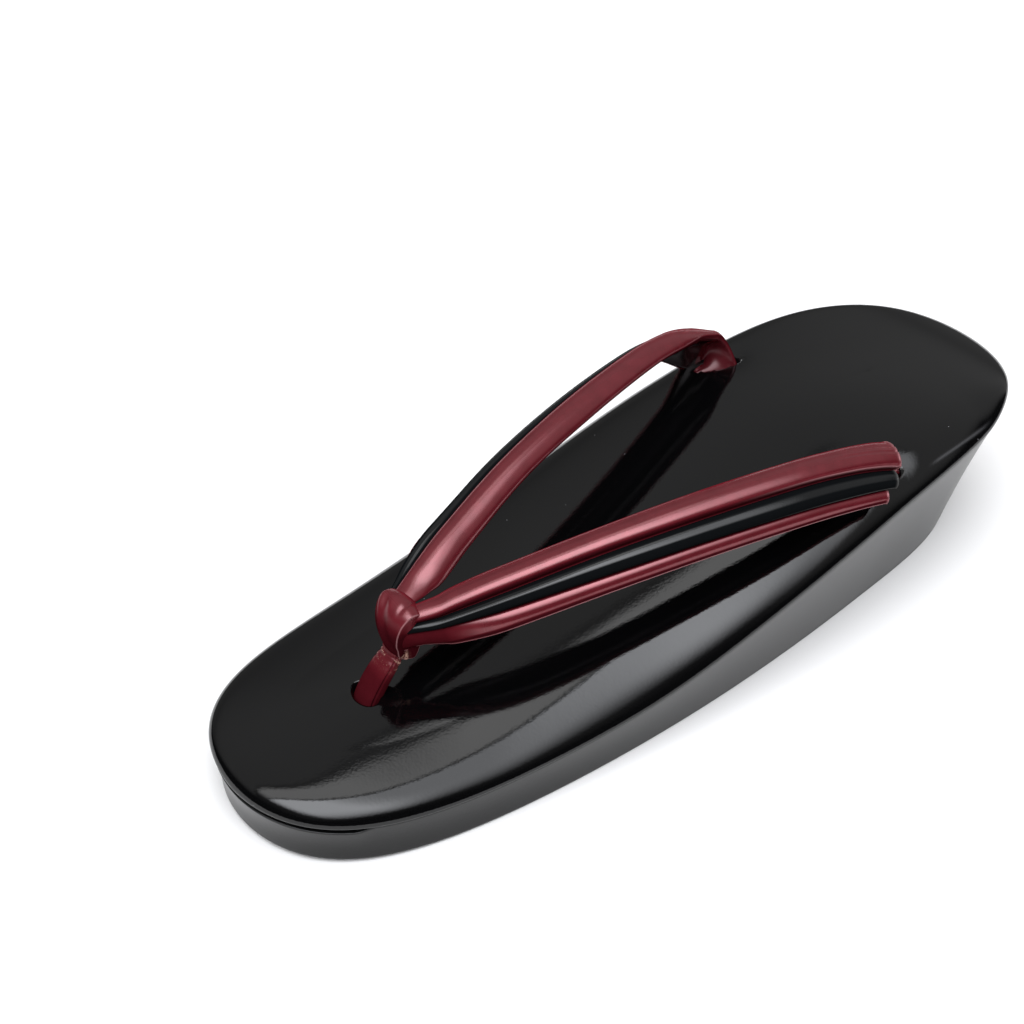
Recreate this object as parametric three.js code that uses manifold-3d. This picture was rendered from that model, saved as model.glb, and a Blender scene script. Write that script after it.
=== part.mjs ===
// A zori: enamel wedge sole, padded top, and a thong strap of three rolls held by a toe post.
// Millimetres, +Z up. The toe points to -Y, the heel to +Y, and the sole stands on Z = 0.
import * as THREE from 'three';
import { mergeVertices } from 'three/addons/utils/BufferGeometryUtils.js';
import Module from 'manifold-3d';

const wasm = await Module();
wasm.setup();

// Sole and pad: each outline is an oval, its half width a sum of cosines of the angle from the toe
const PAD_OUTLINE = { length: 240, shift: 0, widths: [50.3, 0.6, 9.95, 0.85, 1.45] };
const FOOT_OUTLINE = { length: 227.6, shift: -4.4, widths: [43.3, 8.3, 8.1, 0.4, 1.4] };

// Height of the middle of the pad's rolled edge: powers of the distance from mid length over half length
const RIM_POWERS = [26.2, 30.9, 10.3, -19.0, -8.0];

const PAD_ROLL = 3.5;
const PAD_CROWN = 1.2;
const CROWN_FALL = 5;
const CROWN_REACH = 30;
const ROLL_TURNS = 8;
const EDGE_INSETS = [5.5, 8, 12];
const CROWN_SCALES = [0.75, 0.5, 0.28, 0.1];
const FOOT_SCALES = [0.3, 0.65];
const WALL_INSET = 1.0;
const TOE_GROOVE = { depth: 1.3, from: -62, to: -92 };
const TOE_SPRING = { lift: 1.6, from: -50, to: -120 };
const SOLE_EDGE = 1.0;
const SEAT_SCALES = [0.8, 0.6, 0.4, 0.2];
const GAP = 0.35;
const SEAT_GAP = 0.5;
const END_GROWTH = 1.5;

// Strap: the seam between the top roll and the black roll, from the front of the neck to the pad's slot
const STRAP_SECTIONS = [
  { along: -73.5, out: 1.4, up: 39.8, heading: 12, tilt: 6, spread: 0.36, loft: 0.80 },
  { along: -68.0, out: 2.9, up: 42.0, heading: 22, tilt: 12, spread: 0.46, loft: 0.85 },
  { along: -63.0, out: 6.6, up: 44.1, heading: 28, tilt: 17, spread: 0.78, loft: 0.92 },
  { along: -56.0, out: 10.3, up: 46.3, heading: 23, tilt: 17, spread: 0.96, loft: 1.00 },
  { along: -48.0, out: 13.4, up: 48.4, heading: 20, tilt: 17, spread: 1.00, loft: 1.00 },
  { along: -25.0, out: 20.8, up: 53.7, heading: 16, tilt: 22, spread: 1.00, loft: 1.00 },
  { along: 0.0, out: 27.5, up: 57.5, heading: 14, tilt: 26, spread: 1.00, loft: 1.00 },
  { along: 25.0, out: 33.1, up: 58.2, heading: 12, tilt: 31, spread: 1.00, loft: 1.00 },
  { along: 40.0, out: 36.2, up: 57.3, heading: 17, tilt: 34, spread: 1.02, loft: 1.00 },
  { along: 46.0, out: 37.4, up: 56.2, heading: 28, tilt: 36, spread: 1.05, loft: 1.00 },
  { along: 49.8, out: 37.8, up: 54.6, heading: 37, tilt: 36, spread: 1.05, loft: 0.95 },
  { along: 53.2, out: 37.0, up: 52.2, heading: 38, tilt: 36, spread: 0.94, loft: 0.90 },
  { along: 56.6, out: 35.3, up: 49.4, heading: 38, tilt: 36, spread: 0.76, loft: 0.90 },
  { along: 58.6, out: 32.7, up: 46.0, heading: 38, tilt: 36, spread: 0.58, loft: 0.90 },
  { along: 59.6, out: 30.4, up: 42.6, heading: 38, tilt: 36, spread: 0.50, loft: 0.90 },
  { along: 60.0, out: 29.4, up: 40.6, heading: 38, tilt: 36, spread: 0.48, loft: 0.90 },
];
const STEPS_PER_SECTION = 2;

// Rolls across the strap, measured from that seam: inner edge, seams and outer edge
const TOP_ROLL = { from: -7.1, to: 0, rise: 2.4 };
const BLACK_ROLL = { from: 0, to: 4.8, rise: 1.7 };
const LOW_ROLL = { from: 4.8, to: 8.6, rise: 1.5 };
const LINING_DEPTH = 1.2;
const LINING_SHARES = [-0.85, -0.45, 0, 0.45, 0.9];
const CHANNEL_DEPTH = 0.3;
const INNER_CUP = 0.058;
const OUTER_CUP = 0.038;
const ROLL_SIDES = 7;
const BLACK_TRIM = { front: STEPS_PER_SECTION, back: -1 };

// Toe post and the saddle that wraps the strap's neck: sections from the hole in the pad upwards
const POST_SECTIONS = [
  { along: -82.4, up: 11.6, halfWidth: 3.9, halfDepth: 2.5 },
  { along: -81.0, up: 17.5, halfWidth: 3.8, halfDepth: 2.4 },
  { along: -78.6, up: 22.4, halfWidth: 3.5, halfDepth: 2.3 },
  { along: -75.2, up: 27.8, halfWidth: 3.2, halfDepth: 2.3 },
  { along: -73.2, up: 31.0, halfWidth: 3.5, halfDepth: 2.8 },
  { along: -72.4, up: 34.0, halfWidth: 5.4, halfDepth: 4.0 },
  { along: -71.8, up: 38.0, halfWidth: 6.6, halfDepth: 4.6 },
  { along: -71.2, up: 42.0, halfWidth: 6.6, halfDepth: 4.6 },
  { along: -70.7, up: 45.0, halfWidth: 5.2, halfDepth: 3.9 },
  { along: -70.5, up: 46.3, halfWidth: 3.0, halfDepth: 2.2 },
];
const POST_SIDES = 24;
const AROUND = 80;

const ENAMEL = new THREE.MeshStandardMaterial({ color: 0x0b0b0d, roughness: 0.12, metalness: 0 });
const WINE = new THREE.MeshStandardMaterial({ color: 0x7a2a35, roughness: 0.35, metalness: 0.2 });
const BLACK = new THREE.MeshStandardMaterial({ color: 0x101214, roughness: 0.2, metalness: 0 });

// Smooth step from 0 to 1 as a value goes from start to end
function ease(value, start, end) {
  const t = THREE.MathUtils.clamp((value - start) / (end - start), 0, 1);
  return t * t * (3 - 2 * t);
}

function rimHeight(along) {
  const u = along / (PAD_OUTLINE.length / 2);
  return RIM_POWERS.reduce((sum, term, power) => sum + term * u ** power, 0);
}

// Point on an oval at an angle from the toe, moved inwards along its normal
function ovalPoint(outline, angle, inset) {
  const place = (a) => {
    const half = outline.widths.reduce((sum, term, k) => sum + term * Math.cos(k * a), 0);
    return new THREE.Vector2(Math.sin(a) * half, outline.shift - (outline.length / 2) * Math.cos(a));
  };
  const step = 1e-3;
  const along = place(angle + step).sub(place(angle - step)).normalize();
  return place(angle).add(new THREE.Vector2(-along.y, along.x).multiplyScalar(inset));
}

// Ring of points round an oval: height is a function of the point
function ovalRing(outline, inset, scale, height) {
  const ring = [];
  for (let i = 0; i < AROUND; i += 1) {
    const flat = ovalPoint(outline, (2 * Math.PI * i) / AROUND, inset).multiplyScalar(scale);
    ring.push(new THREE.Vector3(flat.x, flat.y, height(flat)));
  }
  return ring;
}

// Closed skin through rings of equal length, shut at both ends with a fan to the ring's middle.
// Each cell is split along its shorter diagonal, so that two skins over one grid stay parallel.
function skin(rings) {
  const positions = [];
  const index = [];
  const count = rings[0].length;
  for (const point of rings.flat()) positions.push(point.x, point.y, point.z);
  for (let r = 0; r + 1 < rings.length; r += 1) {
    for (let i = 0; i < count; i += 1) {
      const a = r * count + i;
      const b = r * count + ((i + 1) % count);
      const c = b + count;
      const d = a + count;
      const rising = rings[r][i].distanceTo(rings[r + 1][c % count]);
      const falling = rings[r][b % count].distanceTo(rings[r + 1][i]);
      index.push(...(rising < falling ? [a, b, c, a, c, d] : [a, b, d, b, c, d]));
    }
  }
  for (const last of [false, true]) {
    const start = last ? (rings.length - 1) * count : 0;
    const ring = last ? rings[rings.length - 1] : rings[0];
    const middle = ring.reduce((sum, p) => sum.add(p), new THREE.Vector3()).divideScalar(count);
    const centre = positions.length / 3;
    positions.push(middle.x, middle.y, middle.z);
    for (let i = 0; i < count; i += 1) {
      const a = start + i;
      const b = start + ((i + 1) % count);
      index.push(...(last ? [a, b, centre] : [b, a, centre]));
    }
  }
  const geometry = new THREE.BufferGeometry();
  geometry.setAttribute('position', new THREE.Float32BufferAttribute(positions, 3));
  geometry.setIndex(index);
  return geometry;
}

function solidFrom(geometry) {
  const merged = mergeVertices(geometry, 1e-4);
  return new wasm.Manifold(new wasm.Mesh({
    numProp: 3,
    vertProperties: new Float32Array(merged.attributes.position.array),
    triVerts: new Uint32Array(merged.index.array),
  }));
}

function geometryFrom(solid) {
  const mesh = solid.getMesh();
  const geometry = new THREE.BufferGeometry();
  geometry.setAttribute('position', new THREE.Float32BufferAttribute(mesh.vertProperties, 3));
  geometry.setIndex(new THREE.Uint32BufferAttribute(mesh.triVerts, 1));
  geometry.computeVertexNormals();
  return geometry;
}

// Sole: flat foot with a rounded edge, walls that lean out to the pad, and a groove under the toe's lip
function soleGeometry() {
  const lift = (p) => {
    const share = Math.max(0, (TOE_SPRING.from - p.y) / (TOE_SPRING.from - TOE_SPRING.to));
    return TOE_SPRING.lift * share * share;
  };
  const seat = (p) => rimHeight(p.y) - PAD_ROLL - GAP;
  const rings = [];
  for (const scale of FOOT_SCALES) rings.push(ovalRing(FOOT_OUTLINE, SOLE_EDGE, scale, lift));
  const foot = ovalRing(FOOT_OUTLINE, SOLE_EDGE, 1, lift);
  const edge = ovalRing(FOOT_OUTLINE, 0, 1, (p) => lift(p) + SOLE_EDGE);
  const brim = [];
  for (let i = 0; i < AROUND; i += 1) {
    const angle = (2 * Math.PI * i) / AROUND;
    const outer = ovalPoint(PAD_OUTLINE, angle, WALL_INSET);
    const groove = TOE_GROOVE.depth * ease(outer.y, TOE_GROOVE.from, TOE_GROOVE.to);
    const flat = ovalPoint(PAD_OUTLINE, angle, WALL_INSET + groove);
    brim.push(new THREE.Vector3(flat.x, flat.y, seat(flat)));
  }
  const belly = edge.map((p, i) => p.clone().lerp(brim[i], 0.5));
  rings.push(foot, edge, belly, brim);
  for (const scale of [1, ...SEAT_SCALES]) rings.push(ovalRing(PAD_OUTLINE, PAD_ROLL, scale, seat));
  return skin(rings);
}

// Pad: a cushion with a rolled edge, crowned a little towards its middle
function padSolid() {
  const under = (p) => rimHeight(p.y) - PAD_ROLL;
  const crown = (inset) => PAD_ROLL + PAD_CROWN * (1 - Math.exp((PAD_ROLL - inset) / CROWN_FALL));
  const rings = [];
  for (const scale of SEAT_SCALES.toReversed()) rings.push(ovalRing(PAD_OUTLINE, PAD_ROLL, scale, under));
  for (let k = 0; k <= ROLL_TURNS; k += 1) {
    const angle = -Math.PI / 2 + (Math.PI * k) / ROLL_TURNS;
    const inset = PAD_ROLL * (1 - Math.cos(angle));
    rings.push(ovalRing(PAD_OUTLINE, inset, 1, (p) => rimHeight(p.y) + PAD_ROLL * Math.sin(angle)));
  }
  for (const inset of EDGE_INSETS) {
    rings.push(ovalRing(PAD_OUTLINE, inset, 1, (p) => rimHeight(p.y) + crown(inset)));
  }
  const shoulder = EDGE_INSETS.at(-1);
  for (const scale of CROWN_SCALES) {
    const reach = shoulder + (1 - scale) * CROWN_REACH;
    rings.push(ovalRing(PAD_OUTLINE, shoulder, scale, (p) => rimHeight(p.y) + crown(reach)));
  }
  return solidFrom(skin(rings));
}

// The strap's base line across its width, arched over the foot: the inner half falls faster
function cup(across) {
  return -(across < 0 ? INNER_CUP : OUTER_CUP) * across * across;
}

// A point of the strap's section: its place across the full width, narrowed and lowered by the station
function sectionPoint(across, rise, station) {
  return new THREE.Vector2(across * station.spread, (cup(across) * station.spread + rise) * station.loft);
}

// Points over one roll from its outer seam to its inner one, as a half oval drawn in by a clearance
function rollArc(roll, station, clearance = 0) {
  const middle = (roll.from + roll.to) / 2;
  const half = (roll.to - roll.from) / 2 - clearance / station.spread;
  const arc = [];
  for (let k = 0; k <= ROLL_SIDES; k += 1) {
    const angle = (Math.PI * k) / ROLL_SIDES;
    arc.push(sectionPoint(middle + half * Math.cos(angle), roll.rise * Math.sin(angle), station));
  }
  return arc;
}

function liningLine(station) {
  return LINING_SHARES.map((share) => {
    const across = share * (share < 0 ? -TOP_ROLL.from : LOW_ROLL.to);
    return sectionPoint(across, -LINING_DEPTH, station);
  });
}

// The wine band: lining, low roll, a channel for the black roll, and the wide top roll
function bandProfile(station) {
  const channel = [BLACK_ROLL.to, BLACK_ROLL.from].map((across) => (
    sectionPoint(across, -CHANNEL_DEPTH, station)));
  return [...liningLine(station), ...rollArc(LOW_ROLL, station), ...channel, ...rollArc(TOP_ROLL, station)];
}

function blackProfile(station) {
  return rollArc(BLACK_ROLL, station, GAP);
}

// The outer shape of all three rolls with their seams bridged, to cut the seats that the arm passes through
function seatProfile(station) {
  const crest = Math.ceil(ROLL_SIDES / 2) + 1;
  const low = rollArc(LOW_ROLL, station).slice(0, crest);
  const middle = rollArc(BLACK_ROLL, station).slice(2, -2);
  const top = rollArc(TOP_ROLL, station).slice(-crest);
  return [...liningLine(station), ...low, ...middle, ...top];
}

// Rings of a section carried along the strap's seam, grown outwards and past both ends
function strapRings(profile, grow) {
  const route = new THREE.CatmullRomCurve3(
    STRAP_SECTIONS.map((s) => new THREE.Vector3(s.out, s.along, s.up)), false, 'centripetal');
  const last = (STRAP_SECTIONS.length - 1) * STEPS_PER_SECTION;
  const rings = [];
  for (let k = 0; k <= last; k += 1) {
    const share = k / last;
    const low = Math.min(Math.floor(k / STEPS_PER_SECTION), STRAP_SECTIONS.length - 2);
    const mix = k / STEPS_PER_SECTION - low;
    const value = (column) => THREE.MathUtils.lerp(
      STRAP_SECTIONS[low][column], STRAP_SECTIONS[low + 1][column], mix);
    const heading = THREE.MathUtils.degToRad(value('heading'));
    const tilt = THREE.MathUtils.degToRad(value('tilt'));
    const centre = route.getPoint(share);
    const tangent = route.getTangent(share);
    if (k === 0) centre.addScaledVector(tangent, -END_GROWTH * grow);
    if (k === last) centre.addScaledVector(tangent, END_GROWTH * grow);
    const across = new THREE.Vector3(
      Math.cos(heading) * Math.cos(tilt), -Math.sin(heading) * Math.cos(tilt), -Math.sin(tilt));
    const outward = across.clone().cross(tangent).normalize();
    const section = profile({ spread: value('spread'), loft: value('loft') });
    rings.push(section.map((p, i) => {
      const before = section[(i + section.length - 1) % section.length];
      const after = section[(i + 1) % section.length];
      const edge = after.clone().sub(before).normalize();
      const x = p.x + grow * edge.y;
      const y = p.y - grow * edge.x;
      return centre.clone().addScaledVector(across, x).addScaledVector(outward, y);
    }));
  }
  return rings;
}

// One arm's skin; side is +1 or -1, and the mirrored arm keeps its faces outwards
function armGeometry(profile, side, grow = 0, trim = {}) {
  const rings = strapRings(profile, grow).slice(trim.front ?? 0, trim.back ?? undefined);
  const placed = rings.map((ring) => {
    const moved = ring.map((p) => new THREE.Vector3(p.x * side, p.y, p.z));
    return side > 0 ? moved.reverse() : moved;
  });
  return skin(placed);
}

function postGeometry(grow = 0) {
  const rings = POST_SECTIONS.map((s, k) => {
    const ends = { 0: -END_GROWTH, [POST_SECTIONS.length - 1]: END_GROWTH };
    const height = s.up + (ends[k] ?? 0) * grow;
    const ring = [];
    for (let i = 0; i < POST_SIDES; i += 1) {
      const angle = (2 * Math.PI * i) / POST_SIDES;
      ring.push(new THREE.Vector3(
        (s.halfWidth + grow) * Math.cos(angle), s.along + (s.halfDepth + grow) * Math.sin(angle), height));
    }
    return ring;
  });
  return skin(rings);
}

const arms = [1, -1].map((side) => solidFrom(armGeometry(bandProfile, side)));
const seats = [1, -1].map((side) => solidFrom(armGeometry(seatProfile, side, SEAT_GAP)));
const strapSolid = arms[0].add(arms[1]);
const padCut = padSolid().subtract(seats[0]).subtract(seats[1]).subtract(solidFrom(postGeometry(SEAT_GAP)));
const postCut = solidFrom(postGeometry()).subtract(seats[0]).subtract(seats[1]);

const zori = new THREE.Group();
function place(name, geometry, material) {
  const mesh = new THREE.Mesh(geometry, material);
  mesh.name = name;
  zori.add(mesh);
}
place('sole', soleGeometry(), ENAMEL);
place('top_pad', geometryFrom(padCut), ENAMEL);
place('strap', geometryFrom(strapSolid), WINE);
place('black_roll_right', armGeometry(blackProfile, 1, 0, BLACK_TRIM), BLACK);
place('black_roll_left', armGeometry(blackProfile, -1, 0, BLACK_TRIM), BLACK);
place('toe_post', geometryFrom(postCut), WINE);

export default zori;
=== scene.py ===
"""A zori: black enamel wedge, padded top and a thong strap of three rolls, dressed over its solids."""
import math

import bpy
import numpy as np
from bpy.props import FloatProperty, FloatVectorProperty, PointerProperty
from bpy.types import Operator, Panel, PropertyGroup
from mathutils import Matrix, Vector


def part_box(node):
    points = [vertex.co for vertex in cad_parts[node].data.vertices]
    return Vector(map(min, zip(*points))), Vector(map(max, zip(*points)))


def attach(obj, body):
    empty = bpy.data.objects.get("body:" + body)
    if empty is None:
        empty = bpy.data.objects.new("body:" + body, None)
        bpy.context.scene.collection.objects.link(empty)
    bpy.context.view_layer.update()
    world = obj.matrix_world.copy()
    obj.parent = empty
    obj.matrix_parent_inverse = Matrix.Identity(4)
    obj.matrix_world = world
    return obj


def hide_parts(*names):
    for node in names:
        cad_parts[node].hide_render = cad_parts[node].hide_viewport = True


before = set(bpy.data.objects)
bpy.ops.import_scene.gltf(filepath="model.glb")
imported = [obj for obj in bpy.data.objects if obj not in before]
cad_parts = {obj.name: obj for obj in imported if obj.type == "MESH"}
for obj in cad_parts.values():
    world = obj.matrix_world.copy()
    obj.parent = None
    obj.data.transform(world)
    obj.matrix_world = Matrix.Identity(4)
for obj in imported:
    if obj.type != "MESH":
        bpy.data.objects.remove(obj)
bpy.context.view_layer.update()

bl_info = {
    "name": "Zori",
    "version": (1, 0, 0),
    "blender": (4, 5, 0),
    "location": "View3D > Sidebar > Zori",
    "description": "Builds an enamel zori: wedge sole, padded top, three-roll strap and toe post",
    "category": "Add Mesh",
}

# Sizes in this file are millimetres, and a mesh is made in metres
MM = 0.001
PAD_LOW, PAD_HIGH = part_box("top_pad")
PAD_LENGTH = (PAD_HIGH.y - PAD_LOW.y) / MM

# Half widths of the pad's and the foot's ovals, as a sum of cosines of the angle from the toe
PAD_WIDTHS = np.array([50.3, 0.6, 9.95, 0.85, 1.45])
FOOT_WIDTHS = np.array([43.3, 8.3, 8.1, 0.4, 1.4])
FOOT_LENGTH = 227.6
FOOT_SHIFT = -4.4
# Height of the pad's outermost line: powers of the distance from mid length over half length
RIM_POWERS = np.array([26.2, 30.9, 10.3, -19.0, -8.0])
AROUND = 480
# Height and width of the small lip at the pad's edge
LIP, LIP_WIDTH = 0.5, 0.4
# The pad's shoulder ends this far inside its edge, and its middle line runs this share of its length
SHOULDER, MIDDLE_SHARE = 18, 0.78
# The pad's outermost line sags along the waist: how deep, where its middle lies and how far it reaches
SAG_DEPTH, SAG_MIDDLE, SAG_REACH = 1.5, -20, 28
# The heel's rim is lifted, and the heel is drawn to one side and back, as on the worn shoe
HEEL_LIFT, HEEL_SWAY, HEEL_BACK = 0.3, 1.5, 0.4

# The strap's seam line between its top and black rolls, with the section's lie and widths there
STRAP_COLUMNS = (
    "along", "out", "up", "heading", "tilt", "bend_in", "bend_out", "top", "black", "low", "rise")
STRAP_SECTIONS = np.array([
    (-74.0, 1.4, 40.2, 20, 58, 18.0, 8.0, 3.4, 2.0, 6.0, 0.40),
    (-71.2, 3.7, 41.8, 24, 54, 17.5, 9.6, 5.2, 2.2, 7.2, 0.50),
    (-68.0, 5.7, 42.9, 26, 47, 16.0, 10.6, 6.9, 2.5, 7.4, 0.66),
    (-64.0, 7.5, 43.7, 25, 39, 13.5, 10.6, 8.0, 2.9, 6.6, 0.86),
    (-59.5, 9.1, 44.9, 22, 32, 11.0, 9.0, 8.8, 3.4, 5.5, 1.05),
    (-47.0, 13.6, 48.4, 20, 25, 8.0, 7.2, 8.3, 4.5, 4.6, 1.06),
    (-25.0, 20.6, 53.6, 16, 24, 6.8, 6.8, 7.9, 5.6, 4.0, 1.00),
    (0.0, 27.3, 56.8, 14, 28, 6.8, 6.6, 8.3, 5.9, 3.8, 1.00),
    (25.0, 32.8, 57.9, 13, 32, 6.8, 6.2, 8.0, 6.1, 3.6, 1.00),
    (39.0, 35.1, 56.6, 16, 35, 6.4, 5.6, 7.9, 5.9, 3.3, 1.00),
    (48.0, 36.7, 54.9, 24, 36, 5.8, 5.0, 8.1, 5.4, 3.2, 1.00),
    (54.0, 37.9, 53.1, 32, 36, 5.4, 4.6, 8.1, 4.9, 3.2, 0.96),
    (57.0, 38.6, 52.2, 34, 36, 5.4, 4.6, 8.1, 4.8, 3.2, 0.96),
])
# Each arm's fold at the rear: where it starts along the shoe, how far it runs on and down as it leaves,
# and the slot in the pad that swallows it: its middle, the way from its inner to its outer end, half its
# length. The arm with the minus sign is worn into a scoop that sinks into its slot bit by bit
FOLDS = {
    1: (54.0, (7.0, 8.0), np.array([31.0, 57.6, 44.0]), np.array([-0.44, -0.90, 0.0]), 4.2),
    -1: (53.0, (12.0, 0.0), np.array([29.6, 52.6, 42.6]), np.array([0.54, -0.84, 0.0]), 6.4),
}

# How the arm with the minus sign departs from the table. Near the knot: degrees of tilt taken off, shares
# of the inner bend and the top's width taken off, and of its rise taken off at the saddle and added behind
# it. At the rear: degrees of twist, and millimetres that it drops and draws in
FAR_ARM = {
    "untilt": 15, "unbend": 0.4, "narrow": 0.06, "pinch": 0.46, "swell": 0.13,
    "twist": 36, "drop": 5.8, "draw": 3.0,
}
# Pits pressed into the pad: how far each reaches along and across, and its turn, for the two arms' slots
# and for the toe post's hole
SLOT_PITS = {1: ((3.6, 2.2), 1.12), -1: ((5.4, 1.8), 1.0)}
POST_HOLE, POST_PIT = (0.2, -80.9), ((4.0, 2.7), 0)
PIT_DEPTH = 6.0
# Shallow dent behind each slot: its depth, its reach and how far behind the slot it lies
DENT_DEPTH, DENT_REACH, DENT_BACK = 0.65, 5.5, 3.0

# Sections of the toe post from its hole in the pad up to the pinch
POST_COLUMNS = ("along", "up", "half_width", "half_depth")
POST_SECTIONS = np.array([
    (-82.4, 12.0, 3.7, 2.4),
    (-81.0, 18.0, 3.7, 2.4),
    (-79.0, 22.4, 3.7, 2.3),
    (-76.4, 26.2, 3.6, 2.2),
    (-74.2, 28.8, 3.4, 2.0),
    (-72.6, 30.8, 3.2, 1.9),
    (-71.8, 33.0, 3.2, 2.2),
])
# The saddle's middle line round the neck from the pinch: along, up and half width
SADDLE_SECTIONS = np.array([
    (-72.4, 30.0, 3.3),
    (-74.0, 33.0, 3.8),
    (-75.0, 37.0, 4.5),
    (-74.9, 41.0, 5.1),
    (-73.4, 44.6, 5.6),
    (-70.6, 46.7, 5.8),
    (-67.4, 46.0, 5.6),
    (-65.4, 43.0, 5.1),
    (-65.2, 38.6, 4.6),
    (-66.2, 33.8, 4.4),
    (-68.6, 29.8, 4.3),
])

# Camera of the photograph, in the part's own frame
CAMERA_AZIMUTH = 54.918
CAMERA_ELEVATION = 41.064
CAMERA_ROLL = -0.146
CAMERA_EYE = (0.28008, -0.23396, 0.35602)
CAMERA_LENS = 66.48

# Depth of the leathers' grain
GRAIN_DEPTH = 0.03
# Edges in the studio's light, by a way's sideways or lengthwise part over its upward part. Each pair goes
# from where a share is nothing to where it is full
ROOM_SIDE, ROOM_REAR, ROOM_CORNER = (-0.385, -0.425), (0.25, 0.45), (-0.7, -2.2)
DIM_NEAR, DIM_FRONT, DIM_REAR = (0.6, 2.4), (-0.9, -2.6), ((1.0, 2.2), (-0.2, 0.6))
FAR_PANEL = {
    "sides": ((-0.375, -0.335), (-0.109, -0.123)),
    "ends": ((0.40, 0.24), (-1.3, -0.6)),
}
NEAR_PANEL = {
    "sides": ((-0.091, -0.077), (1.6, 0.35)),
    "ends": ((0.48, 0.28), (-1.3, -0.6)),
    "glow": (0.22, -0.05),
    "tint": (0.965, 0.985, 1.03),
}
BACKDROP = (1.0, 1.0, 1.0)


class ZoriSizes(PropertyGroup):
    """Sizes of the sole and the padded top."""

    edge_drop: FloatProperty(
        name="Edge drop", description="How far the pad's outermost line lies under the fitted rim line",
        default=0.0014, unit="LENGTH")
    edge_roll: FloatProperty(
        name="Edge roll", description="Radius of the turn under the pad's outermost line",
        default=0.0005, unit="LENGTH")
    edge_rise: FloatProperty(
        name="Edge rise", description="Height of the pad's rounded edge at the toe",
        default=0.0039, unit="LENGTH")
    edge_slope: FloatProperty(
        name="Edge slope", description="Steepest slope of the pad's shoulder, rise over run, at the toe",
        default=1.75, min=0.2)
    crown: FloatProperty(
        name="Crown", description="Bend of the pad's top across the shoe, one over its radius in metres",
        default=5.8)
    wall_inset: FloatProperty(
        name="Wall inset", description="How far the wall's top lies inside the pad's edge",
        default=0.0004, unit="LENGTH")
    toe_groove: FloatProperty(
        name="Toe groove", description="Depth of the open groove under the pad at the toe",
        default=0.0024, unit="LENGTH")
    toe_spring: FloatProperty(
        name="Toe spring", description="Height of the toe's underside above the floor",
        default=0.0016, unit="LENGTH")


class ZoriStrapSizes(PropertyGroup):
    """Sizes of the strap's rolls and lining."""

    top_rise: FloatProperty(
        name="Top roll", description="Height of the wide wine roll", default=0.0024, unit="LENGTH")
    black_rise: FloatProperty(
        name="Black roll", description="Height of the black middle roll", default=0.0029, unit="LENGTH")
    low_rise: FloatProperty(
        name="Low roll", description="Height of the narrow wine roll", default=0.0015, unit="LENGTH")
    lining: FloatProperty(
        name="Lining", description="Thickness of the strap under its rolls", default=0.0012, unit="LENGTH")
    edge_bead: FloatProperty(
        name="Edge bead", description="Height of the pressed fold along each roll", default=0.00028,
        unit="LENGTH")


class ZoriColours(PropertyGroup):
    """Colours of the finishes and the floor."""

    enamel: FloatVectorProperty(
        name="Enamel", description="Black patent leather", default=(0.0012, 0.0012, 0.0014), subtype="COLOR")
    wall: FloatVectorProperty(
        name="Wall", description="Enamel of the sole's wall, a little duller", default=(0.004, 0.004, 0.004),
        subtype="COLOR")
    wine: FloatVectorProperty(
        name="Wine", description="Pearly wine leather", default=(0.18, 0.0155, 0.0245), subtype="COLOR")
    wine_deep: FloatVectorProperty(
        name="Deep wine", description="Wine leather where its pearl is thin", default=(0.115, 0.008, 0.013),
        subtype="COLOR")
    # Painted shade: dark colour of the strap's shaded inner side, and the colour that painted shade darkens
    # the wine towards
    lining: FloatVectorProperty(
        name="Lining", description="Shaded inner side of the strap", default=(0.012, 0.0015, 0.0025),
        subtype="COLOR")
    # Painted highlight: pale colour laid along the strap's pressed edges and folds where light catches them
    wear_and_highlight: FloatVectorProperty(
        name="Worn edge", description="Pale line where a fold of the leather is rubbed",
        default=(0.42, 0.20, 0.21), subtype="COLOR")
    crack: FloatVectorProperty(
        name="Crack", description="Bare leather in the cracked folds of the pinch",
        default=(0.55, 0.33, 0.25), subtype="COLOR")
    # Painted highlight: pale grey laid along the black rolls' pressed edges and folds
    black_edge_highlight: FloatVectorProperty(
        name="Scuff", description="Rubbed edge of the black leather", default=(0.30, 0.29, 0.28),
        subtype="COLOR")
    black: FloatVectorProperty(
        name="Black", description="Black leather of the middle rolls", default=(0.004, 0.0045, 0.005),
        subtype="COLOR")
    dust: FloatVectorProperty(
        name="Dust", description="Specks of dust on the enamel", default=(0.22, 0.22, 0.23), subtype="COLOR")
    floor: FloatVectorProperty(
        name="Floor", description="Pale studio floor", default=(0.88, 0.87, 0.855), subtype="COLOR")


class ZoriLight(PropertyGroup):
    """Studio light round the shoe: a pale room with two panels overhead."""

    room: FloatProperty(
        name="Room", description="Brightness of the far side of the room", default=0.42, min=0.0)
    gap: FloatProperty(
        name="Gap", description="Brightness between the room and the panels", default=0.16, min=0.0)
    dim: FloatProperty(
        name="Dim", description="Brightness low down at the near side", default=0.03, min=0.0)
    far_panel: FloatProperty(
        name="Far panel", description="Brightness of the far panel", default=2.1, min=0.0)
    near_panel: FloatProperty(
        name="Near panel", description="Brightness of the bluish near panel at its rear", default=2.6,
        min=0.0)
    near_glow: FloatProperty(
        name="Near glow", description="Added brightness of the near panel at its front", default=3.4,
        min=0.0)


def smooth(value, start, end):
    """Rises from 0 at start to 1 at end, as 3 t squared less 2 t cubed."""
    t = np.clip((value - start) / (end - start), 0, 1)
    return t * t * (3 - 2 * t)


def bump(distance):
    """Bell of height 1 at distance 0: e to the minus distance squared."""
    return np.exp(-np.square(distance))


def unit(vectors):
    """Vectors along the last axis, each over its length."""
    return vectors / np.linalg.norm(vectors, axis=-1, keepdims=True)


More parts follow.
